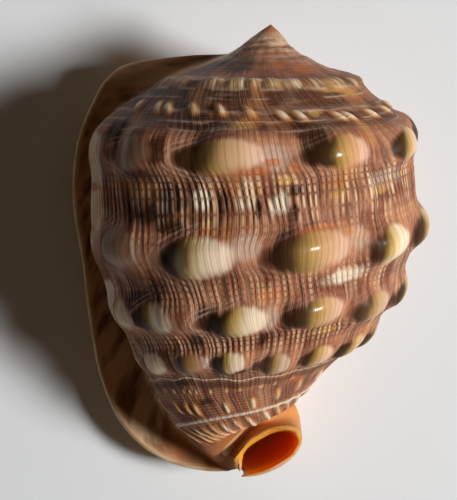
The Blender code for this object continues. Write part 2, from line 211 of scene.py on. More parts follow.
def controls(q):
    """The control points of each C-shaped ring, and the angle about the axis at each one."""
    start = LIP_START + (LIP_START_CANAL - LIP_START) * ease(135, 152, q)
    end = -np.pi - np.radians(along(MOUTH_TURN, q))
    share = np.linspace(0, 1, BODY_POINTS)
    phi = start[:, None] + (end - start)[:, None] * share
    body = ring_point(q, phi, share=1.0 / ((2 + np.cos((start - end) / (BODY_POINTS - 1))) / 3)[:, None])
    edge = body[:, -1]
    into_canal = ease(114, 137, q)[:, None, None]

    # Chamber: round the inner whorl and back under the outer wall. In the canal it is the bore.
    turns = np.radians(np.array(CHAMBER_TURNS, float))[None, :] + 0 * q[:, None]
    depth = np.array(CHAMBER_DEPTHS)[None, :] + 0 * q[:, None]
    wall = np.where(depth == 1, WALL, 0.0)
    wide = ring_point(q, turns, depth, wall)
    turn_share = np.linspace(0, 1, len(CHAMBER_TURNS))
    bore_turns = (end[:, None] + 0.30) + (start - 0.20 - end - 0.30)[:, None] * turn_share
    thin = CANAL_WALL * (1 - 0.55 * ease(158.5, CANAL_END, q))[:, None]
    bore = ring_point(q, bore_turns, 1.0, thin)
    chamber = wide + (bore - wide) * into_canal

    # Lip: from the teeth across its flat face to the rim, over it and down into the gutter.
    rim = np.stack([along(RIM_X, q), along(RIM_Y, q), along(RIM_Z, q)], axis=1)
    left = np.array([-1.0, 0, 0])
    lift = np.array([0, 0, 1.0])
    gap = along(MOUTH_WIDTH, q)[:, None]
    low = (1 - ease(134, 146, q))[:, None]
    tooth = edge + left * gap * low + (rim - edge) * 0.25 * (1 - low)
    inward = edge - rim
    inward /= np.linalg.norm(inward, axis=1)[:, None]
    gutter = along(GUTTER_Z, q)[:, None]
    attach = body[:, 0]

    def between(a, b, t, z=None):
        """The point at share t of the way from a to b, at height z where one is given."""
        p = a + (b - a) * t
        if z is not None:
            p = np.concatenate([p[:, :2], z + 0 * p[:, 2:]], axis=1)
        return p

    flat = -0.7 + (rim[:, 2:] - 6) * (1 - ease(22, 40, q))[:, None]
    flat = np.where(q[:, None] > 128, flat + (rim[:, 2:] - 12) * 0.8 * ease(128, 140, q)[:, None], flat)

    # Each point of the lip is set off by lengths in mm. Those with `low` hold along the lip, where
    # low is 1, and those with `1 - low` hold in the canal's wall.
    lip = [tooth + left * 2.5 * low + lift * 9 * low + (chamber[:, -1] - tooth) * 0.5 * (1 - low),
           tooth + lift * 0.8 * low,
           between(tooth, rim, 0.22, flat + 0.6),
           between(tooth, rim, 0.55, flat),
           rim + inward * 5 * low + inward * 0.8 * (1 - low) - lift * (7.5 * low + 0.6 * (1 - low)),
           rim + inward * 0.2 - lift * 3.0 * low,
           rim + inward * (1.2 * low + 0.3 * (1 - low)) + lift * 2.6 * low,
           rim + inward * (3.6 * low + 0.6 * (1 - low)) + lift * (2.4 * low + 0.2 * (1 - low)),
           between(rim, attach, 0.48, gutter),
           between(rim, attach, 0.80, gutter + 0.25 * (attach[:, 2:] - gutter))]
    lip = np.stack(lip, axis=1)

    # The chamber shrinks towards the mouth's upper end, and closes there.
    centre = (edge + tooth)[:, None] / 2 + lift * 2.0
    open_share = (0.05 + 0.95 * ease(20, 46, q))[:, None, None]
    sill = edge + left * 0.4 + lift * 4.5 * low
    inner = np.concatenate([sill[:, None], chamber, lip[:, :2]], axis=1)
    inner = centre + (inner - centre) * open_share
    span = start - (end + 2 * np.pi)
    back_turns = (end + 2 * np.pi)[:, None] + span[:, None] * (np.arange(1, 9) / 9)[None]
    spire = ring_point(q, back_turns)
    flange = spire + (lip[:, 2:] - spire) * ease(7.5, 13, q)[:, None, None]
    steps = np.arange(1, inner.shape[1] + 1)[None, :, None] / (inner.shape[1] + 1)
    closed = edge[:, None] + (flange[:, :1] - edge[:, None]) * steps
    inner = closed + (inner - closed) * ease(23, 32, q)[:, None, None]
    return np.concatenate([body, inner, flange], axis=1), start, end


def spread(counts, columns):
    """Where the columns stand among the control points, an even spacing in each stretch."""
    stops = np.cumsum([0] + counts)
    return np.concatenate([np.linspace(a, b, n, endpoint=False)
                           for a, b, n in zip(stops[:-1], stops[1:], columns)])


def skin(points, t):
    """A closed cubic B-spline through each ring's control points, read at each place t."""
    n = points.shape[1]
    i = np.floor(t).astype(int)
    f = (t - i)[None, :, None]
    p = [points[:, (i + k) % n] for k in (-1, 0, 1, 2)]
    return ((1 - f) ** 3 * p[0] + (3 * f ** 3 - 6 * f * f + 4) * p[1]
            + (-3 * f ** 3 + 3 * f * f + 3 * f + 1) * p[2] + f ** 3 * p[3]) / 6


def level_base(z, soft=0.8):
    """What would reach below the floor is worn flat on it. Within a soft length of the floor the
    height is a parabola, which rounds the edge."""
    return np.where(z > soft, z, np.where(z < -soft, 0, (z + soft) ** 2 / (4 * soft)))


def winding(place):
    """Turns of the coil up to each place: the sum, from near the apex, of a short length over the
    drop of one full turn."""
    q = np.linspace(0.4, CANAL_END, 2000)
    turns = np.cumsum(1 / np.maximum(along(DROP, q), 0.1)) * (q[1] - q[0]) / (2 * np.pi)
    return np.interp(place, q, turns)


def lumps(place, degrees, spots, half_turn, half_length):
    """Blunt lumps: each falls off from its spot as a bell curve does, but with the distances to
    the power 2.4 instead of 2, so its top is flatter."""
    height = np.zeros_like(place)
    for turn, at in spots:
        across = np.abs((degrees - turn) / half_turn)
        height = np.maximum(height, np.exp(-across ** 2.4 - np.abs((place - at) / half_length) ** 2.4))
    return height


def bars(place, degrees, spots, half_turn, half_length, slant):
    """Short raised bars: each is a bell curve across, and has the distance along it to the power 4,
    so its ends are steep. It leans by slant degrees a millimetre."""
    height = np.zeros_like(place)
    for turn, at in spots:
        off = (degrees - turn + slant * (place - at)) / half_turn
        height = np.maximum(height, np.exp(-off ** 2 - ((place - at) / half_length) ** 4))
    return height


# Each knob's colour, in the order of the rows: from 0 for cream to 1 for orange on its crest, and
# then from 0 for a pale crest to 1 for one that stayed brown.
KNOB_WARMTH = [[0.2, 0.3, 0.7, 0.9, 0.6, 0.5], [0.3, 0.4, 0.0, 0.8, 0.1, 0.6, 0.5],
               [0.2, 0.2, 0.1, 0.0, 0.8, 0.6, 0.8, 0.5], [0.2, 0.0, 1.0, 0.1, 0.4, 0.7, 0.7, 0.9, 0.6]]
KNOB_BROWN = [[0.2, 0.9, 0, 0, 0, 0], [0.2, 0.85, 0, 0.1, 0, 0, 0], [0.1, 0.2, 0.1, 0, 0.1, 0.3, 0, 0],
              [0.1, 0.1, 0.5, 0, 0.3, 0, 0, 0, 0]]

# Where each knob's colours change, in degrees: the front of its dark flank, the dark's edge on the
# crest, the crest's end, and the end of the tail. Then each row's length of face against the
# knob's, and how far the faces sit below it.
KNOB_SPANS = [
    [(92, 84, 72, 64), (64, 54, 44, 37), (33, 24.5, 3, -4), (-12, -26, -37, -45), (-52, -60, -69, -78),
     (-90, -99, -111, -120)],
    [(104, 96, 86, 78), (70, 60, 50, 44), (36, 28, 11, 2), (-2, -14.5, -32, -40), (-44, -50, -60, -66),
     (-69, -76, -86, -93), (-98, -107, -118, -126)],
    [(100, 93, 85, 79), (74, 66, 56, 51), (54, 47.5, 34, 27), (22, 8, -5, -11), (-14, -23.5, -36, -42),
     (-43, -51, -61, -66), (-68, -77, -86, -92), (-94, -103, -112, -118)],
    [(96, 90, 78, 73), (70, 62, 47, 42), (38, 30, 22, 19), (18, 10, 1, -3), (-4, -13.5, -21, -25),
     (-27, -34, -43, -47), (-48, -55, -64, -68), (-70, -77, -85, -90), (-91, -98, -106, -111)]]
KNOB_FACES = [(0.82, 0.18), (1.3, 0.05), (1.2, 0.0), (1.15, 0.0)]


def knob_fields(place, degrees):
    """Over all the knobs: the tallest one's height in mm at each point, its smooth face, how far
    in front of and below its crest the point lies, its two colours, and how far the growth lines
    bend round it. A knob's height falls off as a flat-topped bell curve in both directions."""
    tall, face, front, below, warm, brown, bend = np.zeros((7,) + place.shape)
    closest = np.full(place.shape, 1e9)
    for (height, length, half_turn, row), warmths, browns, spans, (tall_face, lower) in zip(
            KNOB_ROWS, KNOB_WARMTH, KNOB_BROWN, KNOB_SPANS, KNOB_FACES):
        for (turn, at), one_warm, one_brown, span in zip(row, warmths, browns, spans):
            dark, olive, crest, tail = span
            off = (degrees - turn) / half_turn
            across = off / np.where(off > 0, KNOB_FRONT, KNOB_TAIL)
            down = (place - at) / length
            on_across = np.interp(degrees, [tail - 15, tail, crest, olive, dark, dark + 12],
                                  [-2.4, -1, -0.45, 0.8, 1.35, 2.8])
            on_down = (down - lower) / tall_face
            apart = np.hypot(on_across / np.where(on_across > 0, 1.5, 1.0), on_down / 1.3)
            nearest = apart < closest
            front = np.where(nearest, on_across, front)
            below = np.where(nearest, on_down, below)
            warm = np.where(nearest, one_warm, warm)
            brown = np.where(nearest, one_brown, brown)
            closest = np.minimum(closest, apart)
            oval = np.hypot((on_across - 0.15) / np.where(on_across > 0.15, 1.5, 1.2), on_down / 1.1)
            face = np.maximum(face, 1 - ease(0.48, 1.0, oval))
            tall = np.maximum(tall, height * np.exp(-np.abs(across) ** 2.4 - np.abs(down) ** 2.8))
            round_front = ease(-0.5, 0.8, off) * (1 - ease(0.9, 2.2, off))
            bend = np.maximum(bend, round_front * (1 - ease(0.4, 1.3, np.abs(down))) * half_turn)
    return tall, face, front, below, warm, brown, bend


# Low blocks under the suture, small white-tipped knobs on the ramp, and bars above the canal.
BLOCKS = [(80, 18.3), (57, 18.3), (36, 18.3), (18, 18.3), (9, 18.3), (-3, 18.4), (-16, 18.5), (-31, 18.6),
          (-50, 18.8), (-68, 19.2), (-84, 19.4)]
SMALL_KNOBS = [(64, 25.6), (51, 25.8), (45.5, 26), (33, 26), (20.5, 26.3), (8, 26.8), (-5.3, 27.8),
               (-13.2, 28.2), (-31, 29), (-36.2, 29.2), (-51, 29.2), (-66, 29.2), (-82, 29)]
TICKS = [(58, 115.4), (50, 116), (41, 116.4), (36, 116.7), (31, 117), (20, 117.4), (9, 117.6), (0, 117.6),
         (-13, 117.8), (-22, 117.6), (-33, 117)]
LOWER_BARS = [(72, 120), (53, 121.9), (43, 122.8), (35, 123.6), (9, 124.2), (-11, 124.2), (-28, 122.8),
              (-43, 121.8), (-60, 121)]
LEDGE_BARS = [(72, 131), (55, 132.6), (44, 133), (32, 133.4), (21, 133.2), (9, 133.2), (-3, 132.8),
              (-14, 132.4), (-28, 131.6), (-38, 131), (-47, 130.4), (-58, 130), (-70, 129.6)]
CORD = 127.8

# Patches of colour besides the knobs': angle, place, half turn and half length of each. The dark
# ones are brown blotches, and in front of the knobs' steep fronts and on the left of the back they
# are also painted shade.
DARK_AND_SHADE_PATCHES = [(12.5, 54, 2.4, 5), (-1, 56, 1.8, 4), (-14, 51, 3, 2.5), (-14.5, 58, 2, 4),
                (30, 54, 6, 2.5), (45, 46, 10, 4), (35, 51, 9, 4), (42, 56, 13, 5), (27, 26.2, 4.5, 1.8),
                (39, 26, 4, 1.6), (-17, 32, 6, 5), (-6, 29, 4, 4), (28, 30, 10, 3.5), (60, 33, 8, 4),
                (30, 22, 20, 1.5), (6, 110, 14, 1.6), (40, 113, 8, 1.5), (38, 81, 6, 4), (22, 98, 4, 3),
                (-8, 99, 3, 3), (52, 84, 5, 3), (72, 22, 14, 3), (40, 21.5, 12, 2.2), (12, 18.5, 3, 1.8),
                (44, 18.5, 5, 1.8), (30, 12, 22, 3), (70, 12, 22, 4), (28, 121, 12, 1.5), (-60, 76, 4, 4),
                (-20, 36.5, 6, 7.5), (-11, 68, 4.5, 6), (-18, 92, 4.5, 5), (17, 90, 5.5, 6.5),
                (38, 38.5, 4, 5), (32, 61, 7, 2.5), (47, 83, 8, 3)]
RUST_PATCHES = [(3, 44.5, 8, 1.8), (-4, 42, 5, 1.5), (6, 30, 6, 2.8), (-13, 44, 3, 2.5), (-32, 43, 5, 2),
                (50, 43, 10, 3), (17, 63.5, 5, 2), (-24, 64.5, 8, 2), (-2, 95.5, 4, 2), (-22, 96, 4, 1.6),
                (30, 104, 4, 3), (-8, 84, 6, 2), (-30, 49, 4, 2), (-12, 12, 7, 1.4), (-40, 13.5, 16, 1.4),
                (-26, 18.5, 3, 1.6), (-58, 24, 5, 2), (-70, 38, 3, 4), (80, 29, 4, 2.5), (71, 33, 4, 2),
                (77, 40, 4, 3.5), (77, 49, 9, 1.6), (60, 48.5, 4, 1.3), (88, 33, 4, 3), (84, 62, 5, 2),
                (24, 28.6, 3, 2.4), (90, 78, 5, 3), (-62, 112, 14, 2), (0, 118, 5, 1.2),
                (-36, 118, 6, 1.6), (58, 113, 4, 1)]
GOLD_PATCHES = [(8, 31, 5, 2.2), (-8, 18.5, 5, 1.8), (-43, 18.8, 5, 1.6), (-3, 18.5, 3, 1.6),
                (-45, 20.8, 14, 1), (-24, 27.5, 4, 1.4), (17, 60.5, 3, 1.5), (-30, 53.5, 3, 2),
                (-50, 54, 6, 2), (20, 18.5, 3, 1.8), (-9, 47.5, 4, 1.5), (-56, 22, 8, 1.6),
                (-47, 110, 8, 2), (-35, 99.5, 8, 1.6)]
# The cream patches are the shell's pale worn areas, laid on whiter and stronger than their own colour:
# painted light for the shaded left edge beside the lip.
CREAM_PATCHES = [(14, 18.5, 2.4, 1.8), (-20, 18.5, 3, 1.6), (4, 52, 4, 5), (20, 52.5, 4, 3.5),
                 (-8, 55, 4, 4), (86, 42, 17, 12), (84, 60, 15, 9), (76, 57, 13, 3), (46, 54, 3, 2.5),
                 (-38, 81, 8, 3), (20, 105.5, 3, 2.5), (80, 99, 6, 3)]

# Greyish pink areas on the side of some knobs that faces away from the lip.
TAILS = [(-4, 40.5, 8, 5), (3, 68, 7, 5), (-9, 92, 4.5, 5), (-52, 51, 10, 4), (-33, 82, 8, 2.2),
         (30, 71, 6, 4), (-38, 41, 5, 4), (-40, 69, 4, 4), (48, 68, 6, 5)]

# Spiral grooves, by their places, and how strongly the ribs and the cords between grooves show.
GROOVES = [5, 6.6, 8.2, 9.8, 11.4, 13, 14.6, 16.7, 20.2, 21.5, 22.8, 24.0, 26.6, 28.4, 29.8, 31.2, 32.6,
           34.4, 36.4, 38.6, 41, 43.2, 45.4, 47.4, 49.4, 52.2, 57.5, 61.9, 64.1, 66.4, 69.2, 72, 74.8, 77.2,
           79.4, 81.6, 83.6, 85.6, 87.6, 90, 92.8, 95.4, 97.4, 99.2, 101, 102.8, 105.4, 108, 110.4, 112,
           113.6, 115.2, 116.8, 118.6, 120.4, 122.2, 124.6, 126.6, 129.2, 131.6, 134, 136.5, 140]
RIBS = [(0, 0.05), (16, 0.1), (22, 0.1), (28, 0.12), (31, 0.2), (35, 0.25), (38, 0.2), (44, 0.35),
        (47.8, 1), (57, 1), (60, 0.7), (64, 0.45), (68, 0.2), (72, 0.15), (75, 0.3), (79, 0.7), (84, 0.7),
        (88, 0.3), (92, 0.2), (95.5, 0.5), (97, 0.9), (102, 0.9), (104.5, 0.4), (108, 0.15), (114, 0.25),
        (117, 0.15), (126, 0.05), (163, 0)]
CORDS = [(0, 0.3), (5, 0.4), (16, 0.25), (20, 0.2), (30, 0.4), (34, 0.25), (38, 0.1), (50, 0.1), (64, 0.2),
         (68, 0.1), (76, 0.2), (90, 0.1), (104, 0.2), (109, 0.8), (126, 0.9), (136, 0.3), (163, 0)]

# From rib to rib in degrees, a rib's height in mm, and how far the lines bend round a knob against
# its half turn.
RIB = 2.5
RIB_HEIGHT = 0.14
LINE_BEND = 0.15


def surface(rows, columns):
    """The whole skin: rings from apex to canal, each closed round the C, pushed out along its
    normals by the relief. Also the fields that the material reads."""
    points, start, end = controls(rows)
    inner = len(CHAMBER_TURNS) + 3
    lip_edge = BODY_POINTS - 1 + inner
    ring_points = points.shape[1]
    t = spread([14, BODY_POINTS - 15, inner, ring_points - lip_edge], columns)
    grid = skin(points, t)
    q = rows[:, None]
    t = t[None] + 0 * q
    phi = start[:, None] + (end - start)[:, None] * np.clip(t / (BODY_POINTS - 1), 0, 1)
    phi = np.where(t > lip_edge, start[:, None] + 0.2 * (ring_points - t), phi)
    degrees = np.degrees(phi)
    drop = along(DROP, rows)[:, None]
    place = q + drop * (swing(phi) - phi)
    from_lip = t - lip_edge
    on_back = (t < BODY_POINTS - 1) | (from_lip > 6)
    bare = ease(SHIELD_EDGE - 0.02, SHIELD_EDGE + 0.10, phi) * (1 - ease(1.72, 1.95, phi)) * on_back
    above_ledge = 1 - ease(136.0, 137.6, q) + 0 * t

    # The growth lines bend round the front of each knob, and lean on the ramp below the suture.
    # The ribs and beads are worn away on the knobs' faces and on two pale areas beside the lip.
    tall, face, front, below, warm, brown, bend = knob_fields(place, degrees)
    fade = 1 - 0.7 * ease(1.05, 1.6, phi)
    waver = 0.6 * np.sin(place / 7) + 0.35 * np.sin(place / 2.9 + degrees / 9)
    line = (degrees - LINE_BEND * bend + 0.25 * (place - 39) + 0.8 * np.minimum(0, place - 32) + waver
            + 0.8 * np.maximum(0, place - 120))
    groove = np.interp(place, GROOVES, np.arange(len(GROOVES)))
    worn = np.maximum(ease(64, 72, degrees) * ease(32, 37, place) * (1 - ease(59, 66, place)),
                      ease(63, 70, degrees) * ease(76, 80, place) * (1 - ease(91, 96, place)))
    worn = worn * (1 - ease(84, 100, degrees + 5 * np.sin(place / 4)))
    net = along(RIBS, place) * (1 - 0.9 * face) * (1 - 0.8 * worn) * bare * above_ledge
    cords = along(CORDS, place) * (1 - 0.9 * face) * bare * above_ledge

    # The spire: each whorl stands out a little below its suture.
    whorl = winding(q + drop * swing(phi)) - phi / (2 * np.pi) - winding(SUTURE)
    since = np.where(whorl < 0, whorl % 1, 1)
    girth = np.clip(along(RIGHT_RADIUS, rows)[:, None] / 26, 0, 1)
    lowered = SUTURE_STEP * (ease(SUTURE - 0.9, SUTURE + 0.3, place) - 1) * ease(4, 10, q)
    terrace = (1.1 * np.exp(-since / 0.2) + 0.6 * np.exp(-((since - 0.5) / 0.1) ** 2)) * girth * (whorl < 0)
    terrace = terrace * (0.8 + 0.25 * np.cos(np.radians(degrees * 18))) * ease(1.5, 5, q)

    # The low relief, each kind with its height in mm in the sum.
    block = lumps(place, degrees, BLOCKS, 6.5, 1.5)
    small = lumps(place, degrees + 1.5 * (place - 26), SMALL_KNOBS, 2.1, 1.6)
    tick = bars(place, degrees, TICKS, 1.3, 0.8, 0)
    bar = np.maximum(bars(place, degrees, LOWER_BARS, 1.9, 2.3, 0.8),
                     bars(place, degrees, LEDGE_BARS, 2.2, 3.2, 1.9))
    cord = np.exp(-((place - CORD) / 0.6) ** 2)
    waves = 0.2 + 0.7 * np.abs(np.sin(np.radians(9 * degrees + 20)))
    scallop = np.exp(-((place - SUTURE - waves) / 0.3) ** 2) * ease(-25, 5, degrees)
    fold = 0.5 + 0.5 * np.cos(2 * np.pi * line / RIB)
    uneven = np.sin(line * 1.7) * np.sin(line * 0.61 + 1) * 0.16
    fine = (RIB_HEIGHT * net * fold + 0.9 * block + 1.1 * small + 0.35 * tick + 0.75 * bar + 0.6 * cord
            + 0.3 * scallop + terrace + uneven * (0.7 - 0.5 * face) * ease(8, 26, q))
    shield = 1 - ease(SHIELD_EDGE - 0.03, SHIELD_EDGE + 0.06, phi)
    edge = shield * ease(20, 38, q) * (1 - ease(132, 142, q)) * (t < BODY_POINTS - 1)
    lift = (tall * fade + lowered + fine * above_ledge) * bare + SHIELD_STEP * edge

    # Teeth cross the lip's inner edge, and lower, closer ridges cross the other side of the mouth.
    beat = (rows - TEETH_FROM) * TEETH / (TEETH_TO - TEETH_FROM)
    reach = ease(TEETH_FROM - 1, TEETH_FROM + 6, rows) * (1 - ease(TEETH_TO - 8, TEETH_TO, rows))
    tooth = ((0.5 - 0.5 * np.cos(2 * np.pi * beat)) ** 1.4 * reach)[:, None]
    tooth = tooth * np.exp(-np.abs((from_lip - 0.1) / 1.15) ** 3)
    wander = beat * 1.5 + 0.35 * np.sin(beat * 2.1)
    ridge = ((0.5 - 0.5 * np.cos(2 * np.pi * wander)) ** 1.6 * reach)[:, None]
    ridge = ridge * np.exp(-np.abs((t - BODY_POINTS + 0.9) / 1.1) ** 3)
    lift = lift + TOOTH_HEIGHT * tooth + RIDGE_HEIGHT * ridge

    grid = grid + normals(grid) * lift[..., None]
    grid[..., 2] = level_base(grid[..., 2])
    fields = {
        "line": line, "place": place, "groove": groove, "net": net, "cords": cords,
        "face": face * bare * (0.3 + 0.7 * fade),
        "front": front, "below": below, "warm": warm, "brown": brown,
        "pale": np.maximum.reduce([small, bar, 0.9 * tick]) * bare * above_ledge, "cord": cord * bare,
        "block": block * bare, "spire": 1 - ease(14.5, 17.5, place), "ring": q + 0 * t,
        "shield": np.where(on_back, 1 - bare, 1) * (from_lip < 3.2),
        "rim": ease(2.9, 3.7, from_lip) * (1 - ease(5.2, 6.3, from_lip)),
        "gutter": ease(5.2, 6.3, from_lip) + (1 - ease(0.0, 1.1, t)) * (from_lip < 0),
        "inside": ease(19.6, 21.0, t) * (1 - ease(-1.6, -0.3, from_lip)),
        "tooth": np.maximum(tooth, ridge),
        "gum": np.maximum(np.exp(-np.abs((from_lip - 0.1) / 1.5) ** 3),
                          np.exp(-np.abs((t - BODY_POINTS + 0.9) / 1.6) ** 3)) * reach[:, None],
        "canal": 1 - above_ledge, "scallop": scallop * bare,
        "thread": place - 113 - 1.4 * np.tanh((15 - degrees) / 15) - 0.4 * np.cos(np.radians(16 * degrees)),
    }
    for name, spots in (("dark", DARK_AND_SHADE_PATCHES), ("rust", RUST_PATCHES), ("gold", GOLD_PATCHES),
                        ("cream", CREAM_PATCHES), ("tail", TAILS)):
        patch = np.zeros_like(place)
        for turn, at, half_turn, half_length in spots:
            spot = np.exp(-((degrees - turn) / half_turn) ** 2 - ((place - at) / half_length) ** 2)
            patch = np.maximum(patch, spot)
        if name == "cream":
            patch = np.maximum(patch, worn)
        fields[name] = patch * bare * above_ledge
    return grid, fields


def normals(grid):
    """Directions straight out of the surface: at each grid point, the cross product of the steps
    along the rows and round the ring, at unit length."""
    around = np.roll(grid, -1, axis=1) - np.roll(grid, 1, axis=1)
    out = np.cross(np.gradient(grid, axis=0), around)
    return out / np.maximum(np.linalg.norm(out, axis=2), 1e-9)[..., None]


def row_places(count):
    """The rings' places: even steps of the right-hand outline's arc length, made shorter by the
    ledge and longer by the apex."""
    q = np.linspace(0.25, CANAL_END, 1600)
    step = np.hypot(np.gradient(q), np.gradient(along(RIGHT_RADIUS, q)))
    closer = 1 + 0.8 * ease(124, 134, q) * (1 - ease(140, 150, q)) - 0.35 * (1 - ease(10, 20, q))
    run = np.cumsum(step * closer)
    return np.interp(np.linspace(run[0], run[-1], count), run, q)


# The grid's rings, and its columns: over the back, down the shield, in the chamber, on the lip.
ROWS = 248
COLUMNS = [300, 28, 26, 46]
grid, fields = surface(row_places(ROWS), COLUMNS)

# The grid goes where the CAD solid stands: the same lip rim, the same apex, the same floor.
low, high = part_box("shell")
stand = np.array([grid[..., 0].min() - low[0] / MM, APEX[1] - high[1] / MM, 0.0])
verts = np.concatenate([grid.reshape(-1, 3), APEX[None]]) - stand
around = grid.shape[1]
i = (np.arange(ROWS - 1) * around)[:, None]
j = np.arange(around)[None]
k = (j + 1) % around
quads = np.stack([i + j, i + around + j, i + around + k, i + k], axis=-1).reshape(-1, 4)
fan = np.stack([np.full(around, ROWS * around), j[0], k[0]], axis=-1)
brim = (ROWS - 1) * around + np.arange(around)[::-1]

mesh = bpy.data.meshes.new("helmet_shell")
mesh.from_pydata(verts * MM, [], quads.tolist() + fan.tolist() + [brim.tolist()])
for name, values in fields.items():
    layer = mesh.attributes.new(name, "FLOAT", "POINT")
    layer.data.foreach_set("value", np.append(values.ravel(), values[0].mean()).astype(np.float32))
mesh.shade_smooth()
shell = bpy.data.objects.new("helmet_shell", mesh)
bpy.context.scene.collection.objects.link(shell)

# The shell's finish: lime with a satin gloss, brown-mauve with paler ribs. The colour was laid
# down at the lip with the growth lines, so most of it follows them; it wears to cream on the knobs.
finish = bpy.data.materials.new("shell_lime")
finish.use_nodes = True
tree = finish.node_tree
shader = tree.nodes["Principled BSDF"]


def node(kind, inputs, **settings):
    """A new node of the shell's finish, its inputs linked or set; gives its first output."""
    new = tree.nodes.new("ShaderNode" + kind)
    for name, value in settings.items():
        setattr(new, name, value)
    for key, value in inputs.items():
        if isinstance(value, bpy.types.NodeSocket):
            tree.links.new(value, new.inputs[key])
        else:
            new.inputs[key].default_value = value
    return new.outputs[0]


def field(name):
    """One of the grid's fields, read from the mesh."""
    new = tree.nodes.new("ShaderNodeAttribute")
    new.attribute_name = name
    return new.outputs["Fac"]


def sum_of(kind, a, b=0.5, c=0.5):
    """One piece of arithmetic, of the kind named, on up to three values."""
    return node("Math", {0: a, 1: b, 2: c}, operation=kind)


def times(*values):
    """The product of the values."""
    result = values[0]
    for value in values[1:]:
        result = sum_of("MULTIPLY", result, value)
    return result


def step(value, low, high, to=1.0):
    """Rises smoothly from 0 at low to the given value at high, or falls where high is below low."""
    ends = {1: low, 2: high, 3: 0.0, 4: to} if low < high else {1: high, 2: low, 3: to, 4: 0.0}
    return node("MapRange", {0: value, **ends}, interpolation_type="SMOOTHSTEP")


def wave(value, period):
    """Half of one plus the cosine of the value's turn: 1 at each whole period, 0 half way between."""
    turn = sum_of("MULTIPLY", value, 2 * math.pi / period)
    return sum_of("MULTIPLY_ADD", sum_of("COSINE", turn), 0.5, 0.5)


def noise(x, y, x_scale, y_scale, detail=2.0, seed=0.0):
    """Soft noise over two fields, each with a scale of its own."""
    spot = node("CombineXYZ", {0: times(x, x_scale), 1: times(y, y_scale), 2: seed})
    return node("TexNoise", {"Vector": spot, "Scale": 1.0, "Detail": detail})


def tint(under, over, amount):
    """One colour laid over another by an amount."""
    over = over if isinstance(over, bpy.types.NodeSocket) else (*over, 1)
    under = under if isinstance(under, bpy.types.NodeSocket) else (*under, 1)
    new = tree.nodes.new("ShaderNodeMix")
    new.data_type = "RGBA"
    for key, value in ((0, amount), (6, under), (7, over)):
        if isinstance(value, bpy.types.NodeSocket):
            tree.links.new(value, new.inputs[key])
        else:
            new.inputs[key].default_value = value
    return new.outputs[2]


def ramp(value, stops):
    """Colours along a value, from the first stop's place to the last's."""
    new = tree.nodes.new("ShaderNodeValToRGB")
    low, high = stops[0][0], stops[-1][0]
    tree.links.new(node("MapRange", {0: value, 1: low, 2: high, 3: 0.0, 4: 1.0}), new.inputs[0])
    while len(new.color_ramp.elements) < len(stops):
        new.color_ramp.elements.new(0.5)
    for element, (at, colour) in zip(new.color_ramp.elements, stops):
        element.position = (at - low) / (high - low)
        element.color = (*colour, 1)
    return new.outputs[0]


MAUVE = (0.25, 0.080, 0.040)
ROSE = (0.45, 0.190, 0.100)
CREAM = (0.78, 0.58, 0.36)
WHITE = (0.86, 0.73, 0.54)
BROWN = (0.060, 0.018, 0.007)
OLIVE = (0.24, 0.155, 0.045)
RUST = (0.46, 0.13, 0.035)
GOLD = (0.58, 0.31, 0.08)
# The dark patches' umber: brown blotches, and also painted shade.
UMBER_AND_SHADE = (0.042, 0.012, 0.005)
# Worn cream made whiter than the shell's own: partly painted light.
CHALK_AND_PAINTED_LIGHT = (0.85, 0.71, 0.54)
PINK_GREY = (0.56, 0.39, 0.29)
AMBER = (0.60, 0.25, 0.085)

line, place, groove, net, face, front, below, warm, brown_crest = map(
    field, ("line", "place", "groove", "net", "face", "front", "below", "warm", "brown"))

# Ground colour, with broad streaks along the growth lines. It is darker on the ramp, which is the
# band between the suture and the first row of knobs: painted shade, as that band faces away from
# the light. The streaks fade out on the spire.
streak = noise(line, place, 0.36, 0.03, 3.0)
hair = noise(line, place, 2.2, 0.025, 2.0, 3.0)
cloud = noise(line, place, 0.08, 0.10, 2.0, 7.0)
drift = sum_of("SUBTRACT", streak, 0.5)
colour = tint(MAUVE, ROSE, step(cloud, 0.38, 0.62))
lower = sum_of("SUBTRACT", 1.0, times(field("spire"), 0.8))
colour = tint(colour, BROWN, times(step(streak, 0.50, 0.66), lower, 0.55))
colour = tint(colour, CREAM, times(step(streak, 0.44, 0.32), lower, 0.25))
on_ramp = times(step(place, 18.0, 20.5), step(place, 36.0, 31.0))
# Painted shade: brown laid over the ramp.
colour = tint(colour, BROWN, times(on_ramp, 0.78))

# Patches, with ragged edges that follow the growth lines. The dark ones are partly painted shade.
for name, shade, most in (("tail", PINK_GREY, 0.7), ("cream", CHALK_AND_PAINTED_LIGHT, 0.85), ("rust", RUST, 0.8),
                          ("gold", GOLD, 0.7), ("dark", UMBER_AND_SHADE, 0.9)):
    ragged = sum_of("MULTIPLY_ADD", drift, 0.9, field(name))
    colour = tint(colour, shade, step(ragged, 0.25, 0.75, most))

# Ribs cut into beads by the spiral grooves: pale on top, brown between.
rib_shift = sum_of("MULTIPLY_ADD", noise(line, place, 0.13, 0.02, 1.0, 11.0), 5.0, line)
rib = wave(rib_shift, RIB)
cut = sum_of("POWER", wave(groove, 1.0), 5.0)
bead = times(step(rib, 0.35, 0.95), sum_of("SUBTRACT", 1.0, cut))
some = noise(line, place, 0.21, 0.05, 1.0, 23.0)
valley = step(rib, 0.35, 0.0)
between_beads = sum_of("MAXIMUM", times(cut, 0.7), valley)
orange = step(noise(line, place, 0.045, 0.07, 2.0, 41.0), 0.54, 0.68, 0.5)
colour = tint(colour, AMBER, times(orange, lower))
colour = tint(colour, BROWN, times(net, between_beads, step(some, 0.35, 0.55), 0.5))
worn_pale = sum_of("MAXIMUM", field("cream"), field("tail"))
colour = tint(colour, BROWN, times(worn_pale, valley, 0.4))
lit = sum_of("MULTIPLY_ADD", field("dark"), -0.8, 1.0)
colour = tint(colour, CREAM, times(net, bead, lit, step(some, 0.55, 0.42, 0.72)))

# Spiral cords, brown between and paler on top, and fine lines that show in some areas only.
CORD_TOP = (0.58, 0.40, 0.31)

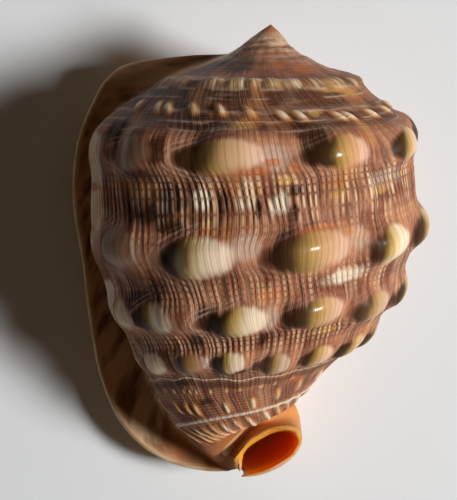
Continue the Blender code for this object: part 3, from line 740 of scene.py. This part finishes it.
cords = field("cords")
cord_top = wave(groove, 0.5)
colour = tint(colour, BROWN, times(cords, step(cord_top, 0.4, 0.1), 0.35))
colour = tint(colour, CORD_TOP, times(cords, step(cord_top, 0.7, 1.0), step(some, 0.40, 0.58), 0.2))
showing = step(noise(line, place, 0.06, 0.05, 2.0, 81.0), 0.38, 0.58)
colour = tint(colour, WHITE, times(step(hair, 0.56, 0.70), lower, showing, 0.2))
colour = tint(colour, BROWN, times(step(hair, 0.46, 0.32), lower, showing, 0.34))

# The ramp has pale spiral ridges, broken here and there, and some paler zones.
RAMP_RIDGE = (0.66, 0.45, 0.34)
RAMP_ZONE = (0.46, 0.25, 0.15)

broken = step(noise(line, place, 0.05, 0.3, 2.0, 61.0), 0.42, 0.56)
ridge = times(sum_of("POWER", wave(groove, 2.0), 5.0), broken)
colour = tint(colour, RAMP_RIDGE, times(ridge, on_ramp, 0.45))
zones = noise(line, place, 0.035, 0.35, 2.0, 71.0)
colour = tint(colour, RAMP_ZONE, times(step(zones, 0.54, 0.66), on_ramp, 0.35))

# Knobs: dark in front, where brown pigment is deepened by painted shade on the steep front that
# faces away from the light, then olive, then a cream or an orange crest, and pinkish down the tail.
# Fine pale lines wrap round the dark front, beyond the smooth face.
# The darkest stops of the front: brown, and painted shade.
DARK_FLANK_AND_SHADE = [(1.15, (0.030, 0.012, 0.005)), (1.4, (0.05, 0.020, 0.010)), (1.7, (0.17, 0.072, 0.045))]
WRAP_LINE = (0.46, 0.34, 0.28)

rounded = times(front, sum_of("MULTIPLY_ADD", times(below, below), 0.35, 1.0))
knob_across = sum_of("MULTIPLY_ADD", sum_of("SUBTRACT", cloud, 0.5), 0.3, rounded)
cream_knob = ramp(knob_across, [
    (-1.4, MAUVE), (-1.0, (0.52, 0.30, 0.20)), (-0.55, (0.88, 0.70, 0.52)), (0.0, (0.87, 0.71, 0.48)),
    (0.35, (0.66, 0.46, 0.20)), (0.62, (0.44, 0.28, 0.08)), (0.76, (0.24, 0.14, 0.038)),
    (0.88, (0.07, 0.033, 0.011))] + DARK_FLANK_AND_SHADE)
orange_knob = ramp(knob_across, [
    (-1.4, MAUVE), (-1.0, (0.50, 0.26, 0.17)), (-0.55, (0.66, 0.38, 0.25)), (-0.1, (0.56, 0.28, 0.10)),
    (0.35, (0.45, 0.24, 0.065)), (0.62, (0.31, 0.18, 0.042)), (0.76, (0.18, 0.10, 0.025)),
    (0.88, (0.06, 0.03, 0.010))] + DARK_FLANK_AND_SHADE)
brown_knob = ramp(front, [(-0.8, MAUVE), (-0.3, (0.24, 0.125, 0.08)), (0.9, (0.20, 0.10, 0.06)),
                          (1.3, BROWN)])
knob_colour = tint(cream_knob, orange_knob, warm)
knob_colour = tint(knob_colour, brown_knob, times(brown_crest, 0.9))
knob_colour = tint(knob_colour, RUST, times(step(below, 0.35, 0.8), step(front, 0.25, -0.3), 0.65))
knob_colour = tint(knob_colour, BROWN, times(step(streak, 0.56, 0.68), 0.15))
knob_lines = sum_of("MAXIMUM", valley, step(hair, 0.45, 0.34))
knob_colour = tint(knob_colour, BROWN, times(knob_lines, 0.22))
on_knob = times(step(sum_of("MULTIPLY_ADD", drift, 0.9, face), 0.1, 0.75), step(face, 0.0, 0.15))
colour = tint(colour, knob_colour, on_knob)
ringed = sum_of("SQRT", sum_of("ADD", times(rounded, rounded), times(below, below, 1.6)))
wrap = times(step(ringed, 1.3, 1.45), step(ringed, 2.2, 1.8), step(front, 0.0, 0.5),
             step(wave(sum_of("MULTIPLY_ADD", hair, 0.3, ringed), 0.32), 0.3, 0.9))
more_by_lip = sum_of("MULTIPLY_ADD", step(line, -10.0, 30.0), 0.35, 0.1)
colour = tint(colour, WRAP_LINE, times(wrap, more_by_lip))

# Low blocks by the suture, pale tips and bars with an orange surround, the scalloped line below
# the suture, and the cord above the ledge with a thin white line beside it.
SURROUND = (0.60, 0.24, 0.07)
PALE_TIP = (0.82, 0.66, 0.47)
ORANGE_TIP = (0.66, 0.36, 0.14)
SCALLOP = (0.66, 0.52, 0.41)
CORD_COLOUR = (0.74, 0.58, 0.46)

colour = tint(colour, tint(OLIVE, CREAM, step(drift, 0.10, -0.08)), times(field("block"), 0.6))
pale = field("pale")
colour = tint(colour, SURROUND, times(step(pale, 0.02, 0.3), 0.5))
tip = tint(PALE_TIP, ORANGE_TIP, step(noise(line, place, 0.11, 0.02, 1.0, 31.0), 0.5, 0.58, 0.8))
colour = tint(colour, tip, step(pale, 0.2, 0.9, 0.85))
colour = tint(colour, SCALLOP, times(field("scallop"), 0.8))
thread = field("thread")
colour = tint(colour, BROWN, times(step(thread, 0.7, 1.3), step(thread, 3.6, 2.8), 0.5))
colour = tint(colour, WHITE, times(step(thread, -0.4, 0.0), step(thread, 0.4, 0.0), 0.75))
colour = tint(colour, CORD_COLOUR, step(field("cord"), 0.2, 0.7, 0.9))

# Spire, with dark and pale bands along its whorls.
DARK_BAND = (0.14, 0.055, 0.03)
PALE_BAND = (0.74, 0.58, 0.42)

ring = field("ring")
spire_colour = ramp(ring, [(0, (0.42, 0.13, 0.04)), (2.0, (0.44, 0.18, 0.07)), (3.6, (0.56, 0.38, 0.24)),
                           (7, (0.50, 0.30, 0.19)), (12, (0.42, 0.25, 0.16)), (18, (0.36, 0.20, 0.13))])
bands = noise(line, place, 0.02, 0.75, 2.0, 51.0)
off_apex = step(ring, 3.0, 5.0)
spire_colour = tint(spire_colour, DARK_BAND, times(step(bands, 0.46, 0.60), off_apex, 0.75))
spire_colour = tint(spire_colour, PALE_BAND, times(step(bands, 0.46, 0.36), off_apex, 0.6))
colour = tint(colour, spire_colour, times(field("spire"), step(ring, 15.0, 5.0, 0.85)))

# Canal: orange, darker in the fold on the lip's side, with a gold edge at its open end.
CANAL_FOLD = (0.24, 0.055, 0.016)

canal_colour = ramp(sum_of("MULTIPLY_ADD", drift, 3.0, ring), [
    (137, (0.50, 0.17, 0.045)), (145, (0.72, 0.30, 0.085)), (153, (0.69, 0.32, 0.12)),
    (160.5, (0.68, 0.30, 0.10)), (161.8, (0.80, 0.50, 0.14)), (163.2, (0.82, 0.42, 0.09))])
in_fold = times(step(line, 40.0, 95.0), step(ring, 158.0, 148.0), 0.35)
canal_colour = tint(canal_colour, CANAL_FOLD, in_fold)
colour = tint(colour, canal_colour, times(field("canal"), 0.95))

# Lip: a cream and tan rim, and a gutter with brown blotches that turns orange towards the canal.
RIM_CREAM = (0.82, 0.61, 0.38)
RIM_TAN = (0.70, 0.40, 0.17)
GUTTER_TAN = (0.72, 0.48, 0.29)
GUTTER_BROWN = (0.20, 0.08, 0.035)
GUTTER_ORANGE = (0.62, 0.26, 0.09)

lip_colour = tint(RIM_CREAM, RIM_TAN, step(noise(line, place, 0.3, 0.16, 2.0, 2.0), 0.5, 0.62))
colour = tint(colour, lip_colour, times(field("rim"), step(ring, 152.0, 140.0)))
blotch = step(noise(line, place, 0.03, 0.16, 3.0, 5.0), 0.40, 0.66)
gutter_colour = tint(GUTTER_TAN, GUTTER_BROWN, times(blotch, 0.9))
gutter_colour = tint(gutter_colour, GUTTER_ORANGE, step(ring, 124.0, 134.0, 0.8))
colour = tint(colour, gutter_colour, times(field("gutter"), step(ring, 140.0, 130.0)))

# Shield, teeth and chamber. The teeth are pale on dark gums, and the canal's bore is bright orange.
SHIELD_ROSE = (0.76, 0.39, 0.22)
SHIELD_SAND = (0.80, 0.47, 0.28)
GUM = (0.10, 0.034, 0.014)
TOOTH = (0.86, 0.76, 0.60)
CHAMBER_ROSE = (0.62, 0.33, 0.19)
BORE_ORANGE = (0.95, 0.33, 0.03)

colour = tint(colour, tint(SHIELD_ROSE, SHIELD_SAND, step(cloud, 0.3, 0.7)), field("shield"))
colour = tint(colour, GUM, times(field("gum"), 0.85))
colour = tint(colour, TOOTH, step(field("tooth"), 0.25, 0.6))
in_canal = step(ring, 138.0, 150.0)
bore_colour = tint(CHAMBER_ROSE, BORE_ORANGE, in_canal)
colour = tint(colour, bore_colour, times(field("inside"), step(field("gum"), 0.5, 0.1)))
tree.links.new(colour, shader.inputs["Base Color"])

# Relief too fine for the grid: beads, grooves and growth lines. The knobs' faces are glossier, and
# light soaks a little way into the thin wall of the canal's bore.
FINE_RELIEF = 0.0005

plain = sum_of("SUBTRACT", 1.0, pale)
beads_high = times(net, plain, sum_of("POWER", rib, 0.7), sum_of("MULTIPLY_ADD", cut, -0.6, 1.0),
                   sum_of("MULTIPLY_ADD", showing, 0.4, 0.6))
back = sum_of("SUBTRACT", 1.0, sum_of("MAXIMUM", field("shield"), field("inside")))
lines_high = times(back, sum_of("SUBTRACT", 1.0, times(face, 0.6)), hair, lower)
cords_high = sum_of("MULTIPLY_ADD", times(ridge, on_ramp), 0.6, times(cords, plain, cord_top, 0.2))
height = sum_of("ADD", sum_of("ADD", beads_high, cords_high), times(lines_high, 0.5))
bump = node("Bump", {"Height": height, "Distance": FINE_RELIEF, "Strength": 1.0})
tree.links.new(bump, shader.inputs["Normal"])
tree.links.new(sum_of("MULTIPLY_ADD", hair, 0.3, 0.26), shader.inputs["Roughness"])
tree.links.new(times(face, step(front, 1.0, 0.6), 0.25), shader.inputs["Coat Weight"])
tree.links.new(times(field("inside"), in_canal), shader.inputs["Subsurface Weight"])
shader.inputs["Subsurface Radius"].default_value = (1.0, 0.42, 0.1)
shader.inputs["Subsurface Scale"].default_value = 0.006
shader.inputs["Specular IOR Level"].default_value = 0.08
shader.inputs["Coat Roughness"].default_value = 0.12
mesh.materials.append(finish)

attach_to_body(shell, "root")
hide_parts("shell")


# The sheet: a plain pale sheet of paper under the shell, larger than the view.
SHEET_HALF = 3.0
PAPER = (0.765, 0.80, 0.835, 1)
PAPER_ROUGHNESS = 0.9

sheet_mesh = bpy.data.meshes.new("sheet")
corners = [(-SHEET_HALF, -SHEET_HALF, 0), (SHEET_HALF, -SHEET_HALF, 0), (SHEET_HALF, SHEET_HALF, 0),
           (-SHEET_HALF, SHEET_HALF, 0)]
sheet_mesh.from_pydata(corners, [], [(0, 1, 2, 3)])
sheet = bpy.data.objects.new("sheet", sheet_mesh)
bpy.context.scene.collection.objects.link(sheet)
paper = bpy.data.materials.new("paper")
paper.use_nodes = True
paper_shader = paper.node_tree.nodes["Principled BSDF"]
paper_shader.inputs["Base Color"].default_value = PAPER
paper_shader.inputs["Roughness"].default_value = PAPER_ROUGHNESS
sheet_mesh.materials.append(paper)

# The light: a soft window on the right, a little towards the canal, and a dim warm room round it.
WINDOW_PLACE = (1.68, -0.16, 1.53)
WINDOW_SIZE = 0.55
WINDOW_POWER = 63
WINDOW_COLOUR = (1.0, 0.985, 0.96)
ROOM_COLOUR = (1.0, 0.66, 0.42, 1)
ROOM_STRENGTH = 0.048

window = bpy.data.lights.new("window", "AREA")
window.shape = "SQUARE"
window.size = WINDOW_SIZE
window.energy = WINDOW_POWER
window.color = WINDOW_COLOUR
lamp = bpy.data.objects.new("window", window)
lamp.location = WINDOW_PLACE
lamp.rotation_euler = (-Vector(WINDOW_PLACE)).to_track_quat("-Z", "Y").to_euler()
bpy.context.scene.collection.objects.link(lamp)

room = bpy.data.worlds.new("room")
bpy.context.scene.world = room
room.use_nodes = True
room_shade = room.node_tree.nodes["Background"]
room_shade.inputs["Color"].default_value = ROOM_COLOUR
room_shade.inputs["Strength"].default_value = ROOM_STRENGTH
bpy.context.scene.view_settings.view_transform = "Standard"
